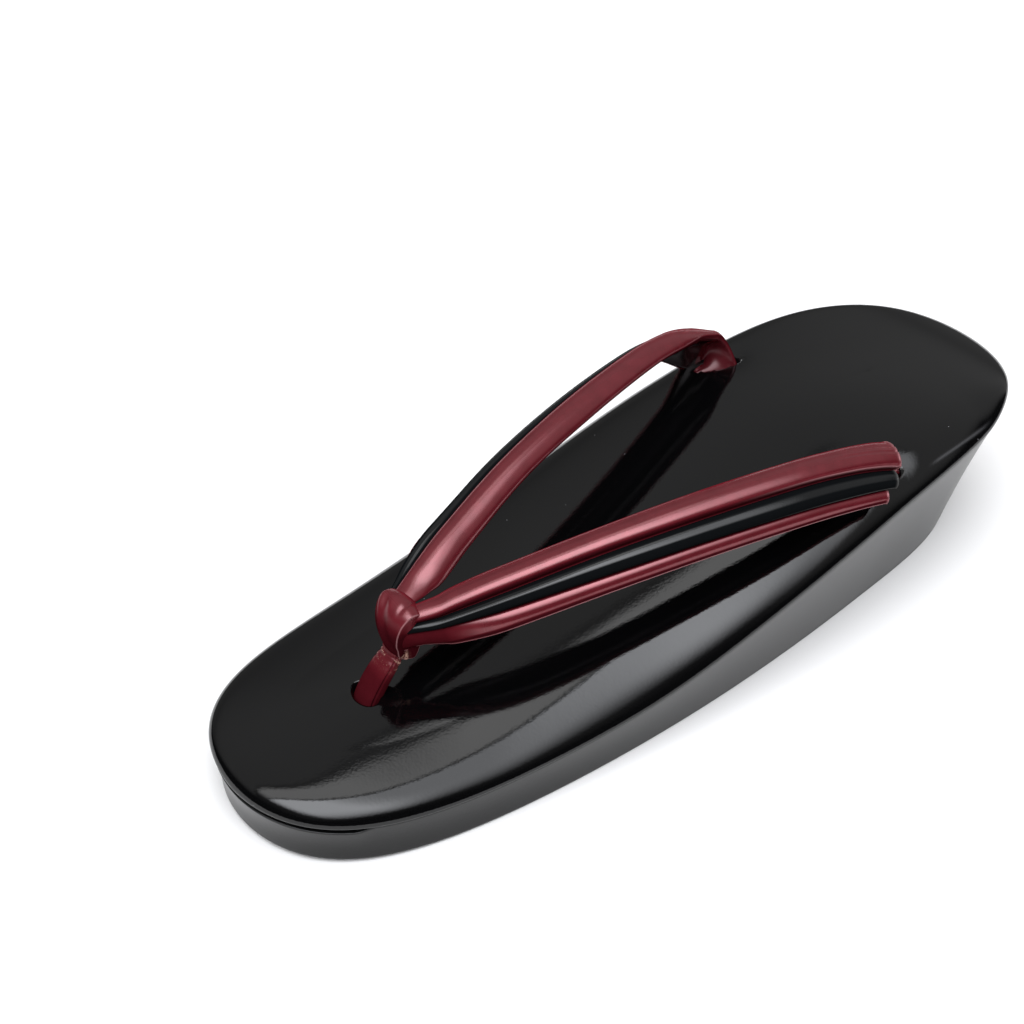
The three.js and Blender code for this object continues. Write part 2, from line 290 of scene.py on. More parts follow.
def rim_height(y):
    """Height of the pad's outermost line: a polynomial of y over half the pad's length, lifted at the
    heel."""
    height = np.polynomial.polynomial.polyval(y / (PAD_LENGTH / 2), RIM_POWERS)
    return height + HEEL_LIFT * smooth(y, 88, 122)


def pad_edge(sizes, x, y):
    """How far the pad's outermost line lies under the rim's height, and how far its shoulder then rises.
    The shoulder is fullest along the shoe's middle and thin round the heel and on the side away from the
    arch."""
    sag = SAG_DEPTH * bump((y - SAG_MIDDLE) / SAG_REACH)
    whole = sizes.edge_rise / MM * (1 + 0.28 * smooth(y, -70, -20)) - LIP + sag
    thin = np.maximum(0.8 * smooth(y, 92, 114), smooth(-x, -5, 15) * (0.5 + 0.3 * smooth(y, 40, 90)))
    return sizes.edge_drop / MM + sag - thin * whole, whole * (1 - thin)


def sway(points):
    """The heel drawn a little to one side and back."""
    back = smooth(points[..., 1], 55, 112)
    end = smooth(points[..., 1], 96, 120) * bump(points[..., 0] / 24)
    return points + np.stack([HEEL_SWAY * back, HEEL_BACK * end, 0 * back], -1)


def oval(widths, length, shift, angle, inset):
    """Oval at an angle from the toe: y is minus half the length times the cosine, x is the sine times the
    sum of cosines, and inset moves the point along the inward normal."""
    orders = np.arange(len(widths))

    def place(a):
        half = np.cos(a[..., None] * orders) @ widths
        return np.stack([np.sin(a) * half, shift - length / 2 * np.cos(a)], -1)

    step = 1e-3
    tangent = unit(place(angle + step) - place(angle - step))
    inward = np.stack([-tangent[..., 1], tangent[..., 0]], -1)
    return place(angle) + inward * np.asarray(inset)[..., None]


def smooth_rows(rows, count):
    """Rows of a table made dense: each column is a cubic through the rows, with the slope at a row taken
    from its two neighbours, at equal steps of the row number."""
    place = np.linspace(0, len(rows) - 1, count)
    low = np.minimum(place.astype(int), len(rows) - 2)
    t = (place - low)[:, None]
    slope = np.gradient(rows, axis=0)
    start, end = rows[low], rows[low + 1]
    return ((2 * t**3 - 3 * t**2 + 1) * start + (t**3 - 2 * t**2 + t) * slope[low]
            + (3 * t**2 - 2 * t**3) * end + (t**3 - t**2) * slope[low + 1])


def ring_faces(rings, around):
    """Quads between neighbouring closed rings of equal length."""
    r, i = np.meshgrid(np.arange(rings - 1), np.arange(around), indexing="ij")
    j = (i + 1) % around
    quads = np.stack([r * around + i, r * around + j, (r + 1) * around + j, (r + 1) * around + i], -1)
    return quads.reshape(-1, 4)


def fold_ring(faces, ring, around):
    """A ring that lies double along the middle line uses one vertex for each pair of mirrored points."""
    start = ring * around
    inside = (faces >= start) & (faces < start + around)
    place = faces - start
    return np.where(inside, start + np.minimum(place, (around - place) % around), faces)


def cap_ends(points):
    """A tube's rings with one more at each end, all its points at the end ring's middle."""
    first, last = (points[[k]].mean(1, keepdims=True) + 0 * points[[k]] for k in (0, -1))
    return np.concatenate([first, points, last])


def cap_values(grids, order=slice(None)):
    """Grids of shares, a row for each ring, as one number a point, with the end rows repeated at the
    caps."""
    edges = ((1, 1), (0, 0))
    return {key: np.pad(grid, edges, mode="edge")[:, order].reshape(-1) for key, grid in grids.items()}


def add_piece(name, points, faces, material, values=None):
    """A mesh object at the origin, smooth, with its faces as given and unused points dropped.
    values holds one number for each point under each attribute's name."""
    used, faces_used = np.unique(faces, return_inverse=True)
    mesh = bpy.data.meshes.new(name)
    quads = faces_used.reshape(faces.shape)
    mesh.from_pydata((points[used] * MM).tolist(), [], quads.tolist())
    mesh.validate()
    for key, value in (values or {}).items():
        mesh.attributes.new(key, "FLOAT", "POINT").data.foreach_set("value", value[used].astype(np.float32))
    mesh.shade_smooth()
    mesh.materials.append(material)
    piece = bpy.data.objects.new(name, mesh)
    bpy.context.scene.collection.objects.link(piece)
    return piece


def settle(piece, slot, *nodes):
    """The piece rides on the shoe and stands for its solids. slot is not used."""
    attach(piece, "root")
    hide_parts(*nodes)


def pit(x, y, centre, reach, turn):
    """Hole pressed into the pad: a steep bell of the turned, stretched distance from its centre."""
    c, s = math.cos(turn), math.sin(turn)
    u = ((x - centre[0]) * c + (y - centre[1]) * s) / reach[0]
    v = ((y - centre[1]) * c - (x - centre[0]) * s) / reach[1]
    return PIT_DEPTH * np.exp(-np.power(u * u + v * v, 5))


def pad_surface(sizes):
    """Closed pad: rings go from the middle line of the underside out to the rolled edge, up over the
    shoulder and in to the middle line of the top. At the edge it stands up by a small lip, the root of 1
    less e to the minus twice the inset over its width, then eases up the shoulder as 1 less e to the minus
    the inset over its reach, and on that lies a shallow arc across the shoe. Gives points, faces and the
    share of a slight pale ridge along one shoulder near the heel."""
    roll = sizes.edge_roll / MM
    angle = 2 * np.pi * np.arange(AROUND) / AROUND
    low = np.linspace(-np.pi / 2, 0, 12)
    edge = np.linspace(0, 1, 52)[1:] ** 2 * SHOULDER
    inset = np.concatenate([roll * (1 - np.cos(low)), edge])[:, None]
    rim = oval(PAD_WIDTHS, PAD_LENGTH, 0, angle[None, :], inset)
    middle = np.stack([0 * rim[-1][:, 0], MIDDLE_SHARE * rim[-1][:, 1]], -1)
    depth = np.linalg.norm(rim[-1] - middle, axis=-1)
    share = np.linspace(0, 1, 60)[1:, None]
    top = rim[-1] + (middle - rim[-1]) * share[..., None]
    under_middle = np.stack([0 * rim[0][:, 0], MIDDLE_SHARE * rim[0][:, 1]], -1)
    under = under_middle + (rim[0] - under_middle) * np.linspace(0, 1, 6)[:-1, None, None]
    flat = np.concatenate([under, rim, top])
    x, y = flat[..., 0], flat[..., 1]
    low_edge, rise = pad_edge(sizes, x, y)
    reach = np.maximum(rise, 0.6) / (sizes.edge_slope - 0.5 * smooth(y, -100, -60))
    crown = sizes.crown * MM * (1 - 0.75 * smooth(y, 45, 100))
    inward = np.concatenate(
        [np.zeros(under.shape[:2]), inset + 0 * rim[..., 0], SHOULDER + share * depth])
    inward[:len(under) + len(low)] = 0
    total = SHOULDER + depth
    lift = LIP * np.sqrt(1 - np.exp(-2 * inward / LIP_WIDTH)) + rise * (1 - np.exp(-inward / reach))
    lift = lift + crown * (total * inward - inward * inward / 2)
    lift[:len(under)] = -roll
    lift[len(under):len(under) + len(low)] = (roll * np.sin(low))[:, None]
    z = rim_height(y) - low_edge + lift
    above = smooth(inward, 0.5, 4)
    for side, (size, turn) in SLOT_PITS.items():
        hole = FOLDS[side][2]
        dent = np.hypot(x - side * hole[0], y - hole[1] - DENT_BACK) / DENT_REACH
        z = z - above * DENT_DEPTH * bump(dent)
        z = z - above * pit(x, y, (side * hole[0], hole[1]), size, turn)
    z = z - above * pit(x, y, POST_HOLE, *POST_PIT)
    fold = bump((inward - 2.65 + 0.07 * (y - 72)) / 0.25) * smooth(y, 69, 74) * (1 - smooth(y, 88, 97))
    fold = fold * (x > 0)
    z = z + 0.1 * fold
    points = sway(np.stack([x, y, z], -1))
    rings = len(points)
    faces = fold_ring(fold_ring(ring_faces(rings, AROUND), 0, AROUND), rings - 1, AROUND)
    return points.reshape(-1, 3), faces, {"wear_and_highlight": fold.reshape(-1)}


def sole_surface(sizes):
    """Closed wedge: rings go from the middle line of the foot out to its rounded edge, up the leaning wall
    to the brim, over an open groove at the toe, and in to the middle line of the seat under the pad."""
    inset, groove, spring = (v / MM for v in (sizes.wall_inset, sizes.toe_groove, sizes.toe_spring))
    roll = sizes.edge_roll / MM + 0.25
    angle = 2 * np.pi * np.arange(AROUND) / AROUND
    edge = 0.8

    def lift(y):
        return spring * np.square(np.clip((y + 50) / -70, 0, None))

    turn = np.linspace(0, np.pi / 2, 6)[:, None]
    foot = oval(FOOT_WIDTHS, FOOT_LENGTH, FOOT_SHIFT, angle[None, :], edge * (1 - np.sin(turn)))
    foot_z = lift(foot[..., 1]) + edge * (1 - np.cos(turn))
    outer = oval(PAD_WIDTHS, PAD_LENGTH, 0, angle, np.full(AROUND, inset))
    opened = smooth(outer[:, 1], -97, -102)
    brim_z = rim_height(outer[:, 1]) - pad_edge(sizes, *outer.T)[0] - roll - 1.5 * opened
    share = np.linspace(0, 1, 20)[1:, None]
    wall = foot[-1] + (outer - foot[-1]) * share[..., None]
    wall_z = foot_z[-1] + (brim_z - foot_z[-1]) * share
    centre = np.stack([0 * outer[:, 0], 0.9 * outer[:, 1]], -1)
    wall = wall - unit(wall - centre) * (0.4 * np.sin(np.pi * share))[..., None]
    steps = np.linspace(0, np.pi / 2, 6)[1:, None]
    lip = oval(PAD_WIDTHS, PAD_LENGTH, 0, angle[None, :], inset + 0.5 * (1 - np.cos(steps)))
    lip_z = brim_z + 0.25 * np.sin(steps)
    behind = inset + 0.5 + groove * np.array([[0.9], [1.0], [1.1]])
    back = oval(PAD_WIDTHS, PAD_LENGTH, 0, angle[None, :], behind)
    back_z = lip_z[-1] + (1.4 * opened) * np.array([[-0.1], [0.5], [1.0]])
    seat = oval(PAD_WIDTHS, PAD_LENGTH, 0, angle[None, :], np.array([[6.0]]))
    seat_middle = np.stack([0 * seat[0][:, 0], MIDDLE_SHARE * seat[0][:, 1]], -1)
    inner = seat[0] + (seat_middle - seat[0]) * np.linspace(0, 1, 6)[1:, None, None]
    seat = np.concatenate([seat, inner])
    seat_z = rim_height(seat[..., 1]) - pad_edge(sizes, seat[..., 0], seat[..., 1])[0] - roll
    foot_middle = np.stack([0 * foot[0][:, 0], 0.8 * foot[0][:, 1]], -1)
    under = foot_middle + (foot[0] - foot_middle) * np.linspace(0, 1, 12)[:-1, None, None]
    flat = np.concatenate([under, foot, wall, lip, back, seat])
    z = np.concatenate([lift(under[..., 1]), foot_z, wall_z, lip_z, back_z, seat_z])
    points = sway(np.concatenate([flat, z[..., None]], -1))
    rings = len(points)
    faces = fold_ring(fold_ring(ring_faces(rings, AROUND), 0, AROUND), rings - 1, AROUND)
    return points.reshape(-1, 3), faces


def strap_path(side):
    """Dense stations of one arm by the length along its seam: the table's columns, the seam's points and
    the section's axes. The axis across leaves the seam at its heading and tilt, and outwards is square to
    both."""
    column = dict(zip(STRAP_COLUMNS, smooth_rows(STRAP_SECTIONS, 1600).T))
    if side < 0:
        along = column["along"]
        front, rear, drawn = 1 - smooth(along, -64, -36), smooth(along, 36, 54), smooth(along, 44, 57)
        pinched, full = 1 - smooth(along, -70, -58), bump((along + 55) / 8)
        column["tilt"] = column["tilt"] - FAR_ARM["untilt"] * front + FAR_ARM["twist"] * rear
        column["bend_in"] = column["bend_in"] * (1 - FAR_ARM["unbend"] * front)
        column["top"] = column["top"] * (1 - FAR_ARM["narrow"] * front)
        column["rise"] = column["rise"] * (1 - FAR_ARM["pinch"] * pinched + FAR_ARM["swell"] * full)
        column["up"] = column["up"] - FAR_ARM["drop"] * rear
        column["out"] = column["out"] - FAR_ARM["draw"] * drawn
    seam = np.stack([column["out"], column["along"], column["up"]], -1)
    tangent = unit(np.gradient(seam, axis=0))
    heading, tilt = np.radians(column["heading"]), np.radians(column["tilt"])
    across = np.stack([
        np.cos(heading) * np.cos(tilt), -np.sin(heading) * np.cos(tilt), -np.sin(tilt)], -1)
    outward = unit(np.cross(across, tangent))
    length = np.concatenate([[0], np.cumsum(np.linalg.norm(np.diff(seam, axis=0), axis=-1))])
    return column, length, seam, across, outward, tangent


def roll_arc(count, lean):
    """Half an oval from one seam to the other: shares of the width, and heights over the rise. The crest
    lies nearer the first seam for a lean under 1."""
    turn = np.linspace(0, np.pi, count)
    return (1 - np.cos(turn)) / 2, np.sin(np.pi * np.power(turn / np.pi, lean))


def arm_surface(side, profile):
    """One arm as a closed tube. profile gives for each point of the section its place as shares of the
    top, black and low widths, its height, how much of that height follows the rolls, how far its fold lags,
    and how far inside the hole it lies. Rows run along the seam to the fold; from there each point dives on
    a cubic curve into the pad's slot. Gives points, faces and the shares of painted edge highlight, of the
    inner side painted dark as shade, and of painted shade."""
    column, length, seam, across, outward, tangent = strap_path(side)
    start, (run, fall), hole, way, half = FOLDS[side]
    fold = np.interp(start, column["along"], length)
    row = np.concatenate([np.linspace(0, 0.96, 230), np.linspace(0.96, 1, 40)[1:]])[:, None]
    crisp, spread = (1.0, 0.0) if side > 0 else (0.0, 0.45)
    lag = profile["lag"] * (0.35 + 0.65 * crisp)
    place = row * fold + lag * smooth(row, 0.85, 1)

    def at(values):
        return np.interp(place, length, values)

    def vectors(values):
        return np.stack([at(values[:, k]) for k in range(3)], -1)

    top, black, low = (at(column[key]) for key in ("top", "black", "low"))
    a = profile["top"] * top + profile["black"] * black + profile["low"] * low
    before = fold + lag - place
    ridge = 0.22 * crisp * bump(before / 0.5) * profile["roll"]
    rise = profile["height"] * (1 + profile["roll"] * (at(column["rise"]) - 1))
    rise = rise * (1 - profile["neck"] * (1 - smooth(at(column["along"]), -66, -50))) + ridge
    sharp = 1 - profile["late"] * (1 - smooth(at(column["along"]), 5, 40))
    rise = rise + profile["bead"] * sharp
    rise = rise + profile["crease"] * smooth(-before, -22, -6)
    bend = np.radians(np.where(a < 0, at(column["bend_in"]), at(column["bend_out"])))
    turned = bend * a
    x = np.sin(turned) / bend + rise * np.sin(turned)
    h = (np.cos(turned) - 1) / bend + rise * np.cos(turned)
    w, n, t = vectors(across), vectors(outward), vectors(tangent)
    points = vectors(seam) + w * x[..., None] + n * h[..., None]
    wide = (top + black + low)[-1]
    share = (2 * a[-1] + top[-1] - black[-1] - low[-1]) / wide
    slot_out = np.array([-way[1], way[0], 0])
    slot = hole + half * share[:, None] * way + slot_out * (profile["slot"] - 0.8 * share**2)[:, None]
    g = (np.linspace(0, 1, 44)[1:] ** 1.5)[:, None, None]
    leave = run * t[-1] * (1 - spread - spread * share)[:, None] - fall * n[-1]
    enter = np.array([-3.0, 2.0, -9.0])
    dive = ((2 * g**3 - 3 * g**2 + 1) * points[-1] + (g**3 - 2 * g**2 + g) * leave
            + (3 * g**2 - 2 * g**3) * slot + (g**3 - g**2) * enter)
    points = np.concatenate([points, dive]) * np.array([side, 1, 1])
    # Painted highlight along the pressed edges and across the fold at the rear
    wear_and_highlight = np.maximum(profile["wear_and_highlight"] * sharp, crisp * profile["roll"] * bump(before / 0.45))
    wear_and_highlight = np.concatenate([wear_and_highlight, profile["wear_and_highlight"] * (1 - g[..., 0])])
    # Painted shade on the inner side, weaker where the arm dives into its slot
    inner, painted_shade = (np.tile(profile[key], (len(points), 1)) for key in ("inner", "painted_shade"))
    inner[len(row) - 13:] *= 0.4
    # Painted shade: darker near the knot, most on the low roll, and inside the scooped arm's dive
    near_knot = 1 - smooth(np.interp(row * fold, length, column["along"]), -64, -48)
    painted_shade[:len(row)] = np.maximum(painted_shade[:len(row)], 1.1 * near_knot * profile["neck"])
    painted_shade[len(row):] = np.maximum(painted_shade[len(row):], 0.5 * (1 - crisp))
    order = slice(None, None, -side)
    points = cap_ends(points)[:, order]
    values = cap_values({"wear_and_highlight": wear_and_highlight, "inner": inner, "painted_shade": painted_shade}, order)
    return points.reshape(-1, 3), ring_faces(*points.shape[:2]), values


PROFILE_KEYS = (
    "top", "black", "low", "height", "bead", "roll", "neck", "lag", "slot", "crease", "wear_and_highlight", "late",
    "inner", "painted_shade")


def join_profile(*runs):
    """Runs of section points joined into one closed section, each key one array."""
    whole = {}
    for key in PROFILE_KEYS:
        whole[key] = np.concatenate([np.broadcast_to(run.get(key, 0.0), run["size"]) for run in runs])
    return whole


def band_profile(sizes):
    """Section of the wine band: low roll, the channel's floor and the top roll outside, the lining
    inside."""
    top_rise, low_rise, lining, bead = (
        v / MM for v in (sizes.top_rise, sizes.low_rise, sizes.lining, sizes.edge_bead))
    share, arc = roll_arc(36, 0.75)
    # Painted highlight along the low roll's pressed edge, and painted shade on its lower half and beside the
    # black roll
    edge = bump((share - 0.045) / 0.028)
    shaded = smooth(share, 0.06, 0.12) * (1 - smooth(share, 0.28, 0.48))
    low = {"size": 36, "black": 1.0, "low": 1 - share, "height": low_rise * arc, "bead": bead * edge,
           "roll": 1.0, "neck": 0.8, "lag": -3.6, "slot": 0.3, "wear_and_highlight": edge,
           "painted_shade": np.maximum(shaded, smooth(share, 0.88, 0.98))}
    floor = {"size": 4, "black": np.linspace(0.9, 0.1, 4), "height": -0.6}
    share, arc = roll_arc(56, 0.78)
    # Painted highlight along the top roll's pressed edge, and painted shade along its edge by the black roll
    # and its inner edge
    edge = bump((share - 0.035) / 0.018)
    lines = -0.26 * bump((share - 0.42) / 0.02) - 0.2 * bump((share - 0.60) / 0.018)
    top = {"size": 56, "top": -share, "height": top_rise * arc, "bead": bead * edge, "roll": 1.0,
           "neck": 0.2, "lag": -1.6 * share, "slot": 0.3, "wear_and_highlight": edge, "late": 1.0, "crease": lines,
           "painted_shade": np.maximum(1 - smooth(share, 0.03, 0.14), smooth(share, 0.95, 1.0))}
    share = np.linspace(0.03, 0.97, 32)
    ripple = -0.07 * np.square(np.sin(share * np.pi * 2.5))
    under = {"size": 32, "top": -(1 - share), "black": share, "low": share, "height": -lining,
             "lag": -1.4 - 1.2 * share, "slot": -1.0 + ripple * 2.2, "crease": ripple * 1.6, "inner": 1.0}
    return join_profile(low, floor, top, under)


def black_profile(sizes):
    """Section of the black roll, laid in the band's channel: half an oval closed by a shallow underside."""
    rise, bead = sizes.black_rise / MM, sizes.edge_bead / MM
    share, arc = roll_arc(40, 0.72)
    # Painted highlight along the pressed edge; painted shade dulls the gloss on both flanks, leaving a
    # narrow highlight band
    edge = bump((share - 0.05) / 0.03)
    over = {"size": 40, "black": 0.975 - 0.95 * share, "height": rise * arc - 1.1, "bead": bead * edge,
            "roll": 1.0, "neck": 0.3, "lag": -1.2, "slot": 0.9, "wear_and_highlight": edge, "late": 1.0,
            "painted_shade": np.maximum(1 - smooth(share, 0.38, 0.52), smooth(share, 0.62, 0.80))}
    under = {"size": 6, "black": np.linspace(0.1, 0.9, 6), "height": -1.12, "slot": 0.5}
    return join_profile(over, under)


def post_surface():
    """Toe post: rounded rectangles, each a power oval, carried up from the pad's hole to the pinch, with a
    sewn groove along one side and cross folds at the pinch. Gives points, faces and the shares of cracked
    fold and painted shade."""
    rows = smooth_rows(POST_SECTIONS, 110)
    column = dict(zip(POST_COLUMNS, rows.T))
    path = np.stack([0 * column["along"], column["along"], column["up"]], -1)
    tangent = unit(np.gradient(path, axis=0))
    wide = np.array([1.0, 0, 0])
    deep = unit(np.cross(tangent, wide))
    angle = 2 * np.pi * np.arange(96) / 96
    c, s = np.cos(angle), np.sin(angle)
    radius = np.power(np.abs(c)**3 + np.abs(s)**3, -1 / 3)
    groove = 0.12 * bump((angle - 2 * np.pi * 0.93) / 0.07)
    up = column["up"][:, None]
    tight = bump((up - 30.3) / 1.9)
    folds = np.square(np.sin(up * 2.4 + 0.5 * np.sin(3 * angle)))
    radius = radius * (1 - groove) * (1 - 0.07 * folds * tight)
    x = column["half_width"][:, None] * radius * c
    y = column["half_depth"][:, None] * radius * s
    points = path[:, None] + wide * x[..., None] + deep[:, None] * y[..., None]
    points = cap_ends(points)
    # Painted shade: strong down the post and in its groove, less towards the pinch
    values = cap_values({
        "crack": (1 - folds) * bump((up - 29.6) / 1.2) * np.ones_like(angle),
        "painted_shade": 0.92 - 0.3 * smooth(up, 25, 30) + 0.1 * groove / 0.12})
    return points.reshape(-1, 3), ring_faces(*points.shape[:2]), values


def saddle_surface():
    """Saddle over the strap's neck: a strip that loops from the pinch up the front, over the neck and down
    behind it. Its middle line is a closed smooth curve through the table's points, its section is a shallow
    arc across the shoe with cut edges, and its two sides are shut towards the neck. Gives points, faces and
    the shares of painted edge highlight, cracked fold and painted shade."""
    closed = np.concatenate([SADDLE_SECTIONS[-2:], SADDLE_SECTIONS, SADDLE_SECTIONS[:3]])
    count = len(SADDLE_SECTIONS)
    steps = 16
    dense = smooth_rows(closed, (len(closed) - 1) * steps + 1)[2 * steps:(2 + count) * steps]
    along, up, half = dense.T
    path = np.stack([along, up], -1)
    tangent = unit(np.roll(path, -1, 0) - np.roll(path, 1, 0))
    normal = np.stack([-tangent[:, 1], tangent[:, 0]], -1)
    centre = np.array([-70.4, 39.5])
    normal *= np.sign(np.sum(normal * (path - centre), -1, keepdims=True))
    turn = np.linspace(0, np.pi / 2, 5)
    flat = np.linspace(-0.95, 0.95, 47)[1:-1]
    edge, drop = 0.95 + 0.05 * np.cos(turn), 0.3 * (1 - np.sin(turn))
    across = np.concatenate([[-1, -1], -edge, flat, edge[::-1], [1, 1]])
    fall = np.concatenate([[1.3, 0.7], drop, 0 * flat, drop[::-1], [0.7, 1.3]])
    # Painted highlight along the saddle's two cut edges
    wear_and_highlight_share = np.concatenate([[0, 0], np.sin(2 * turn), 0 * flat, np.sin(2 * turn[::-1]), [0, 0]])
    place = np.arange(len(dense))[:, None] / steps
    pinch = np.minimum(place, count - place)
    x = half[:, None] * across
    sink = -1.1 * np.square(across) * (0.5 + 0.5 * smooth(pinch, 0, 3)) - fall
    front = smooth(place, 0.5, 1.6) * (1 - smooth(place, 4.2, 5.4))
    crease = x + 5.2 - 1.9 * (4.6 - place)
    sink = sink + front * (0.40 * bump(crease / 1.1) - 0.34 * bump((crease - 2.5) / 1.2))
    over = smooth(place, 4.0, 4.8) * (1 - smooth(place, 6, 7))
    sink = sink - 0.3 * bump((x - 2.6 + 0.5 * (place - 5)) / 0.7) * over
    folds = np.square(np.sin(pinch * 6.5 + 0.35 * x + 0.4 * np.sin(1.3 * x)))
    sink = sink - 0.28 * folds * (1 - smooth(pinch, 0.25, 1.1))
    y = path[:, None, 0] + normal[:, None, 0] * sink
    z = path[:, None, 1] + normal[:, None, 1] * sink
    points = np.stack([x, y, z], -1).transpose(1, 0, 2)
    wear_and_highlight = np.broadcast_to(wear_and_highlight_share[:, None], points.shape[:2])
    crack = ((1 - folds) * (1 - smooth(pinch, 0.15, 0.8))).T

    def shut(rim):
        """The two rings that close a side: one drawn in towards the neck, and its middle."""
        middle = np.array([0, *centre]) + np.array([1, 0, 0]) * rim[:, :1]
        ring = middle + (rim - middle) * 0.55
        return np.stack([ring, np.broadcast_to(ring.mean(0), ring.shape)])

    points = np.concatenate([shut(points[0])[::-1], points, shut(points[-1])])
    # Painted shade: some over the whole saddle, deepening towards the pinch at both ends
    shade_share = 0.3 + 0.7 * (1 - smooth(pinch[:, 0], 2.4, 5.2))
    shut_sides = ((2, 2), (0, 0))
    values = {
        "wear_and_highlight": np.pad(wear_and_highlight, shut_sides).reshape(-1),
        "crack": np.pad(crack, shut_sides).reshape(-1),
        "painted_shade": np.broadcast_to(shade_share, points.shape[:2]).reshape(-1),
    }
    return points.reshape(-1, 3), ring_faces(*points.shape[:2]), values


def new_group(name, inputs, outputs):
    """Empty shader node group with float, vector or colour sockets, and its two end nodes."""
    group = bpy.data.node_groups.new(name, "ShaderNodeTree")
    for key, kind, value in inputs:
        socket = group.interface.new_socket(key, in_out="INPUT", socket_type=kind)
        socket.default_value = value
    for key, kind in outputs:
        group.interface.new_socket(key, in_out="OUTPUT", socket_type=kind)
    return group, group.nodes.new("NodeGroupInput"), group.nodes.new("NodeGroupOutput")


def add_node(tree, kind, links=None, **settings):
    """A node with its settings, and each named or numbered input linked to a socket or given a value."""
    node = tree.nodes.new(kind)
    for key, value in settings.items():
        setattr(node, key, value)
    for key, value in (links or {}).items():
        if isinstance(value, bpy.types.NodeSocket):
            tree.links.new(value, node.inputs[key])
        else:
            node.inputs[key].default_value = value
    return node


def math_node(tree, kind, first, second):
    """Output of a sum, product or other step of two values."""
    return add_node(tree, "ShaderNodeMath", {0: first, 1: second}, operation=kind).outputs[0]


def ease_node(tree, value, start, end):
    """Rises smoothly from 0 to 1 as a value goes from start to end."""
    return add_node(tree, "ShaderNodeMapRange", {
        "Value": value, "From Min": start, "From Max": end}, interpolation_type="SMOOTHSTEP").outputs[0]


def mix_values(tree, share, first, second):
    """Value that goes from the first to the second as the share goes from 0 to 1."""
    return add_node(tree, "ShaderNodeMix", {0: share, 2: first, 3: second}).outputs[0]


def mix_colours(tree, share, first, second, blend="MIX"):
    """Colour that goes from the first to the second as the share goes from 0 to 1. Each is a socket or
    three numbers."""
    links = {0: share}
    for place, colour in ((6, first), (7, second)):
        links[place] = colour if isinstance(colour, bpy.types.NodeSocket) else (*colour, 1)
    return add_node(tree, "ShaderNodeMix", links, data_type="RGBA", blend_type=blend).outputs[2]


def share_of(tree, name):
    """A number that the mesh holds at each of its points, such as how rubbed it is."""
    return add_node(tree, "ShaderNodeAttribute", attribute_name=name).outputs["Fac"]


def leather_grain():
    """Group: fine pores and a slow swell as a bump height, and a cloudy mask, at scales in grains a
    metre."""
    found = bpy.data.node_groups.get("leather_grain")
    if found:
        return found
    group, start, end = new_group(
        "leather_grain",
        [("Scale", "NodeSocketFloat", 900.0), ("Swell", "NodeSocketFloat", 120.0),
         ("Swell Share", "NodeSocketFloat", 1.0)],
        [("Height", "NodeSocketFloat"), ("Cloud", "NodeSocketFloat")])
    place = add_node(group, "ShaderNodeTexCoord").outputs["Object"]
    pores = add_node(group, "ShaderNodeTexNoise", {
        "Vector": place, "Scale": start.outputs["Scale"], "Detail": 3.0, "Roughness": 0.6})
    swell = add_node(group, "ShaderNodeTexNoise", {
        "Vector": place, "Scale": start.outputs["Swell"], "Detail": 2.0, "Roughness": 0.45})
    slow = math_node(group, "MULTIPLY", swell.outputs["Fac"], start.outputs["Swell Share"])
    group.links.new(math_node(group, "ADD", pores.outputs["Fac"], slow), end.inputs["Height"])
    group.links.new(swell.outputs["Fac"], end.inputs["Cloud"])
    return group


def start_material(name):
    """Material with a leather shader, and that shader."""
    material = bpy.data.materials.new(name)
    material.use_nodes = True
    return material, material.node_tree, material.node_tree.nodes["Principled BSDF"]


def grain_into(tree, shader, scale, swell, swell_share, strength):
    """Puts the grain group's height into the shader's normal, and gives back the group node."""
    grain = add_node(tree, "ShaderNodeGroup", node_tree=leather_grain())
    for key, value in (("Scale", scale), ("Swell", swell), ("Swell Share", swell_share)):
        grain.inputs[key].default_value = value
    relief = add_node(tree, "ShaderNodeBump", {
        "Height": grain.outputs["Height"], "Strength": strength, "Distance": GRAIN_DEPTH * MM})
    tree.links.new(relief.outputs["Normal"], shader.inputs["Normal"])
    return grain


def dull_rim(tree, shader, levels):
    """Lets the named gloss levels fade where the surface turns away, as a soft leather that has seen long
    use does, and where shade is painted in the folds beside the rolls. Gives back the share of painted
    shade."""
    facing = add_node(tree, "ShaderNodeLayerWeight", {"Blend": 0.5}).outputs["Facing"]
    # Painted shade: a share laid on the mesh where the leather should sit in shade, which dulls its gloss
    painted_shade = share_of(tree, "painted_shade")
    kept = math_node(tree, "MULTIPLY", ease_node(tree, facing, 0.78, 0.40), ease_node(tree, painted_shade, 0.9, 0.0))
    for key, level in levels.items():
        tree.links.new(math_node(tree, "MULTIPLY", kept, level), shader.inputs[key])
    return painted_shade


